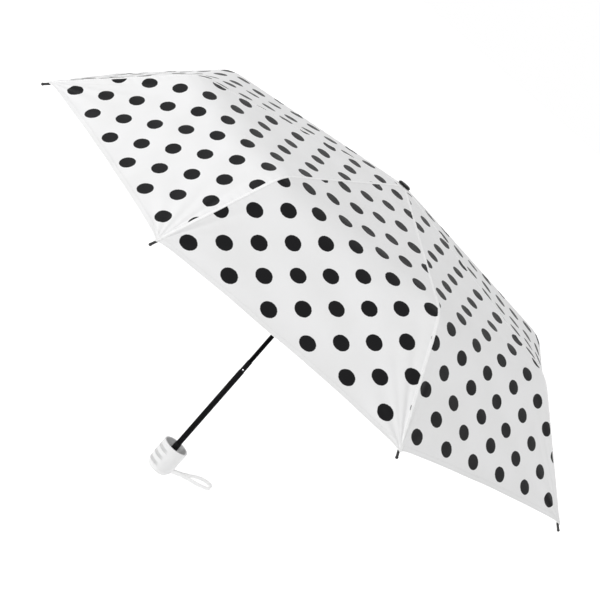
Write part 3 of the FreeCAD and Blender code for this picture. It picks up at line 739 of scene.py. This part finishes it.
def halfShell(rib, side, low, high, shell):
    panel = rib if side > 0 else (rib - 1) % ribCount
    shares = columnShares()
    runs = rowPlaces(low, high)
    run, share = np.meshgrid(runs, shares, indexing="ij")
    across = share if side > 0 else 1 - share
    over = clothPanel(panel, across, run)
    normal = differences(clothPanel, panel, across, run)
    hemmed = 1 + 2 * (0.5 + 0.5 * np.tanh((run - outerLength + canopy["hemWidth"]) / 0.0005))
    under = over - normal * (canopy["thickness"] * hemmed)[..., None]
    rows, columns = run.shape
    chord = 2 * (knee[0] + np.where(run < 0, -run * innerWay[0], run * outerWay[0])) * halfSine
    outHeight = math.sqrt(outerLength ** 2 - ((hem[0] - knee[0]) * halfSine) ** 2)
    inHeight = math.sqrt(innerLength ** 2 - ((knee[0] - crown[0]) * halfSine) ** 2)
    up = np.where(run > 0, outHeight * (1 - run / outerLength), outHeight - run / innerLength * inHeight)
    firstX, firstY, stepX, stepY, lean = printLie[panel]
    uv = np.stack([((across - 0.5) * chord - firstX - lean * (up - firstY)) * clothPrint["across"] / stepX,
                   (up - firstY) * clothPrint["up"] / stepY], axis=-1)
    beside = np.stack([np.minimum(across, 1 - across) * chord, run], axis=-1)
    base = len(shell["points"])
    size = rows * columns
    for grid in (over, under):
        shell["points"].extend(grid.reshape(-1, 3).tolist())
    flatNormal = normal.reshape(-1, 3)
    flatUv = uv.reshape(-1, 2)
    flatBeside = beside.reshape(-1, 2)
    index = np.arange(size).reshape(rows, columns)
    quads = np.stack([index[:-1, :-1], index[1:, :-1], index[1:, 1:], index[:-1, 1:]], axis=-1).reshape(-1, 4)
    if side < 0:
        quads = quads[:, ::-1]
    one = over.reshape(-1, 3)
    test = np.cross(one[quads[0][1]] - one[quads[0][0]], one[quads[0][2]] - one[quads[0][0]])
    if test[2] < 0:
        quads = quads[:, ::-1]
    edge = np.concatenate([index[0, :-1], index[:-1, -1], index[-1, :0:-1], index[:0:-1, 0]])
    ahead = np.roll(edge, -1)
    rim = np.stack([edge, ahead, ahead + size, edge + size], axis=-1)
    a, b = one[rim[0][1]] - one[rim[0][0]], -flatNormal[rim[0][0]]
    outward = np.cross(a, b)
    centre = one.mean(axis=0)
    if np.dot(outward, one[rim[0][0]] - centre) < 0:
        rim = rim[:, ::-1]
    for faces, sign, slotNumber in ((quads, 1, 0), (quads[:, ::-1] + size, -1, 1), (rim, 0, 0)):
        for face in faces:
            shell["faces"].append([int(corner) + base for corner in face])
            shell["slots"].append(slotNumber)
            for corner in face:
                corner = int(corner) % size
                shell["uvs"].append(tuple(flatUv[corner]))
                shell["beside"].append(tuple(flatBeside[corner]))
                shell["normals"].append(tuple(flatNormal[corner] * sign))
    # lines of stitching that lie on the cloth
    lines = []
    seam = np.full_like(runs, stitches["fromSeam"]) / (2 * (knee[0] + np.where(
        runs < 0, -runs * innerWay[0], runs * outerWay[0])) * halfSine)
    if runs[0] < -0.3:
        sewn = runs > reachAt(stitches["startRadius"])
        seam, seamRuns = seam[sewn], runs[sewn]
    else:
        seamRuns = runs
    seamAcross = seam if side > 0 else 1 - seam
    lines.append((seamAcross, seamRuns))
    if high >= outerLength - 1e-6:
        for inset in stitches["fromHem"]:
            hemShare = shares[shares > 0.004]
            hemAcross = hemShare if side > 0 else 1 - hemShare
            lines.append((hemAcross, np.full_like(hemShare, outerLength - inset)))
    for acrossLine, runLine in lines:
        place = clothPanel(panel, acrossLine, runLine)
        lift = differences(clothPanel, panel, acrossLine, runLine)
        shell["rows"].append(place + lift * stitches["width"] * 0.25)


def makeClothPiece(name, rib, sides, low, high):
    shell = {"points": [], "faces": [], "slots": [], "uvs": [], "beside": [], "normals": [], "rows": []}
    for side in sides:
        halfShell(rib, side, low, high, shell)
    sewn = stitchMesh(shell["rows"])
    base = len(shell["points"])
    shell["points"].extend([tuple(vertex.co) for vertex in sewn.vertices])
    for polygon in sewn.polygons:
        corners = list(polygon.vertices)
        shell["faces"].append([corner + base for corner in corners])
        shell["slots"].append(2)
        shell["uvs"].extend([(0, 0)] * len(corners))
        shell["beside"].extend([(0, 0)] * len(corners))
        shell["normals"].extend([(0, 0, 0)] * len(corners))
    bpy.data.meshes.remove(sewn)
    mesh = bpy.data.meshes.new(name)
    mesh.from_pydata(shell["points"], [], shell["faces"])
    for material in ("clothOver", "clothUnder", "hemThread"):
        mesh.materials.append(materials[material])
    mesh.polygons.foreach_set("material_index", shell["slots"])
    mesh.polygons.foreach_set("use_smooth", [True] * len(mesh.polygons))
    for name, values in (("print", shell["uvs"]), ("beside", shell["beside"])):
        mesh.uv_layers.new(name=name).data.foreach_set("uv", np.array(values).ravel())
    mesh.update()
    mesh.normals_split_custom_set(shell["normals"])
    piece = bpy.data.objects.new(mesh.name, mesh)
    scene.collection.objects.link(piece)
    return piece


def makeCanopy():
    firstRun, secondRun = (reachAt(radius) for radius in canopy["hinges"])
    made = []
    for rib in range(ribCount):
        number = rib + 1
        zones = [("canopyTop_%d" % number, (-1, 1), firstRun, secondRun, "main_rib_%d" % number),
                 ("canopyMiddle_%d" % number, (-1, 1), secondRun, 0.0, "middle_rib_%d" % number),
                 ("canopyHemLeft_%d" % number, (1,), 0.0, outerLength, "outer_rib_%d" % number),
                 ("canopyHemRight_%d" % number, (-1,), 0.0, outerLength, "outer_rib_%d" % number)]
        for name, sides, low, high, body in zones:
            piece = makeClothPiece(name, rib, sides, low, high)
            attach(piece, body)
            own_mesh(piece)
            made.append(piece)
    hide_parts("canopy")
    return made


canopyPieces = makeCanopy()
print("canopy made:", len(canopyPieces), "pieces")

crownPatch = {"hole": 0.0036, "radius": 0.017, "lift": 0.00035, "thickness": 0.0002, "around": 96, "out": 14}


def makeCrownPatch(settings):
    points, faces = [], []
    around, out = settings["around"], settings["out"]
    for layer in (settings["lift"], settings["lift"] - settings["thickness"]):
        for step in range(out + 1):
            radius = settings["hole"] + (settings["radius"] - settings["hole"]) * step / out
            drop = max(0, radius - crown[0]) * (crown[1] - knee[1]) / (knee[0] - crown[0])
            for turn in range(around):
                angle = 2 * math.pi * turn / around
                wave = 0.00006 * math.sin(8 * angle) * step / out
                points.append((radius * math.cos(angle), radius * math.sin(angle),
                               crown[1] - drop + layer + wave))
    sheet = (out + 1) * around
    for step in range(out):
        for turn in range(around):
            a, b = step * around + turn, step * around + (turn + 1) % around
            faces.append((a, a + around, b + around, b))
            faces.append((sheet + a, sheet + b, sheet + b + around, sheet + a + around))
    for turn in range(around):
        a, b = turn, (turn + 1) % around
        faces.append((a, b, sheet + b, sheet + a))
        c, d = out * around + turn, out * around + (turn + 1) % around
        faces.append((d, c, sheet + c, sheet + d))
    mesh = bpy.data.meshes.new("crownPatch")
    mesh.from_pydata(points, [], faces)
    mesh.materials.append(materials["clothUnder"])
    mesh.polygons.foreach_set("use_smooth", [True] * len(mesh.polygons))
    layer = mesh.uv_layers.new(name="print")
    for loop in mesh.loops:
        place = mesh.vertices[loop.vertex_index].co
        layer.data[loop.index].uv = (place.x + 0.0304, place.y)
    piece = bpy.data.objects.new("crownPatch", mesh)
    scene.collection.objects.link(piece)
    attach(piece, "crown")


makeCrownPatch(crownPatch)
print("crown patch made")


studio = {
    "floorRadius": 60.0,
    "floorColour": (0.5, 0.5, 0.5, 1),
    "floorGlow": 0.8,
    "worldLight": 0.78,
    "backdrop": 1.0,
    "keyPlace": (-2.6, -1.9, 2.3),
    "keySize": 2.2,
    "keyPower": 14.0,
    "stripPlace": (-2.2, -1.6, 0.55),
    "stripSize": (0.16, 1.1),
    "stripPower": 10.0,
    "aim": (0.0, 0.0, 0.42),
}


def makeFloor(settings):
    around = 96
    points = [(0, 0, 0)]
    for turn in range(around):
        angle = 2 * math.pi * turn / around
        radius = settings["floorRadius"]
        points.append((radius * math.cos(angle), radius * math.sin(angle), 0))
    faces = [(0, 1 + turn, 1 + (turn + 1) % around) for turn in range(around)]
    mesh = bpy.data.meshes.new("studioFloor")
    mesh.from_pydata(points, [], faces)
    material, tree, surface = startMaterial("floorPaper", Roughness=0.9)
    place = objectPlace(tree)
    fibre = placeGroup(tree, mottle, place, Scale=3.0)["Value"]
    tint = [0.985 * value for value in settings["floorColour"][:3]] + [1]
    tree.links.new(mixColour(tree, fibre, settings["floorColour"], tint), surface.inputs["Base Color"])
    surface.inputs["Emission Color"].default_value = (1, 1, 1, 1)
    surface.inputs["Emission Strength"].default_value = settings["floorGlow"]
    surface.inputs["Specular IOR Level"].default_value = 0.1
    mesh.materials.append(material)
    floor = bpy.data.objects.new("studioFloor", mesh)
    scene.collection.objects.link(floor)


def makeLight(name, place, size, power, aim):  # a disc, or a strip when two sizes are given
    data = bpy.data.lights.new(name, "AREA")
    data.shape = "DISK"
    if isinstance(size, tuple):
        data.shape = "RECTANGLE"
        data.size_y = size[1]
        size = size[0]
    data.size = size
    data.energy = power
    light = bpy.data.objects.new(name, data)
    scene.collection.objects.link(light)
    way = Vector(aim) - Vector(place)
    light.matrix_world = Matrix.Translation(place) @ way.to_track_quat("-Z", "Y").to_matrix().to_4x4()


makeFloor(studio)
makeLight("keyLight", studio["keyPlace"], studio["keySize"], studio["keyPower"], studio["aim"])
makeLight("stripLight", studio["stripPlace"], studio["stripSize"], studio["stripPower"], studio["aim"])


def makeWorld(settings):
    world = bpy.data.worlds.new("studioWorld")
    world.use_nodes = True
    tree = world.node_tree
    soft = tree.nodes["Background"]
    soft.inputs["Color"].default_value = (1, 1, 1, 1)
    soft.inputs["Strength"].default_value = settings["worldLight"]
    paper = tree.nodes.new("ShaderNodeBackground")
    paper.inputs["Color"].default_value = (1, 1, 1, 1)
    paper.inputs["Strength"].default_value = settings["backdrop"]
    seen = tree.nodes.new("ShaderNodeLightPath")
    choose = tree.nodes.new("ShaderNodeMixShader")
    tree.links.new(seen.outputs["Is Camera Ray"], choose.inputs[0])
    tree.links.new(soft.outputs[0], choose.inputs[1])
    tree.links.new(paper.outputs[0], choose.inputs[2])
    tree.links.new(choose.outputs[0], tree.nodes["World Output"].inputs["Surface"])
    scene.world = world


makeWorld(studio)
scene.view_settings.view_transform = "Standard"
print("studio made")
